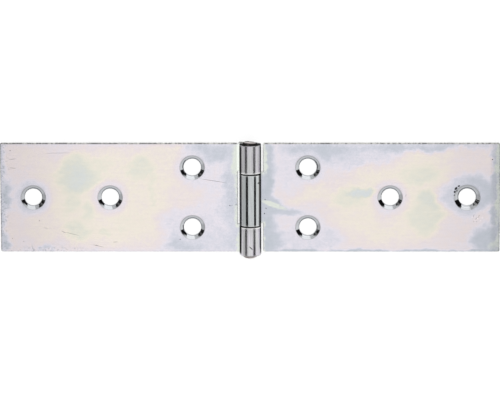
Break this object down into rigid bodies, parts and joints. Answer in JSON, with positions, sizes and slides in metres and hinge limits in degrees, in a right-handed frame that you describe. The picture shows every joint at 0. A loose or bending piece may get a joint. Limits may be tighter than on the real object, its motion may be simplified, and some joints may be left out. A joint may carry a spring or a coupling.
{
  "type": "table hinge",
  "caption": "Long flat rolled-sheet hinge with countersunk screw holes; its leaves swing about a riveted pin through interleaved knuckles, for a drop-leaf table.",
  "frame": {"origin": "on the flat back of the open hinge, under the middle of the pin", "axes": "+X towards the free end of the one-knuckle leaf, +Y along the pin, +Z out of the countersunk front"},
  "size_m": [0.16, 0.038, 0.0068],
  "materials": {
    "zinc_strip": "bright zinc plate with a clear blue passivation that shows faint colours",
    "pin_wire": "drawn steel wire, zinc plated, ends peened"
  },
  "bodies": {
    "fixed_side": {"fixed_leaf": "zinc_strip", "hinge_pin": "pin_wire"},
    "swing_side": {"swing_leaf": "zinc_strip"}
  },
  "joints": [
    {"name": "leaf_swing", "type": "hinge", "parent": "fixed_side", "child": "swing_side", "pos_m": [0, 0, 0.0034], "axis": [0, -1, 0], "range_deg": [-90, 180]}
  ]
}
